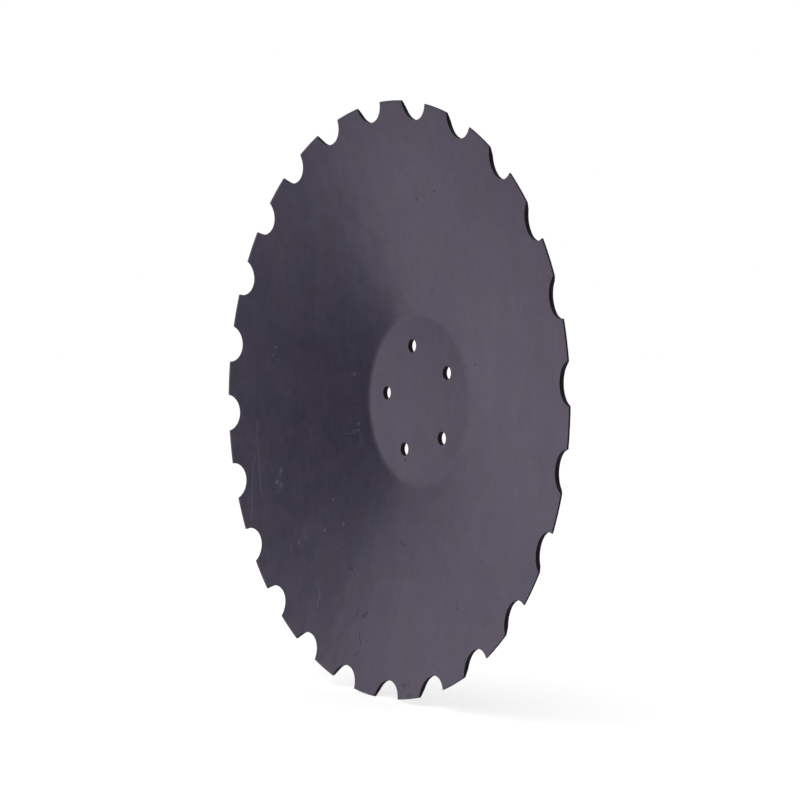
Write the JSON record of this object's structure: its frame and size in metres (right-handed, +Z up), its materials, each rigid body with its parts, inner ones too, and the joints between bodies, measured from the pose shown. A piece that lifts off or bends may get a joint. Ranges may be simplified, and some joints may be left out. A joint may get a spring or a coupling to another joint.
{
  "type": "conical disc blade",
  "caption": "Notched conical disc blade with a flat bolt-on centre and a rim ground thin from the convex side, for a disc harrow or cultivator.",
  "frame": {"origin": "centre of the flat mounting face on the blade's convex side, on the blade's axis", "axes": "+Y along the blade's axis, out of the convex side that bears on the hub; -Y out of the concave side; +Z up as the blade stands in the picture"},
  "size_m": [0.52, 0.049, 0.52],
  "materials": {
    "blade_paint": "satin dark grey primer with a violet cast, thin, with light handling marks"
  },
  "bodies": {
    "root": {"disc_blade": "blade_paint"}
  },
  "joints": []
}
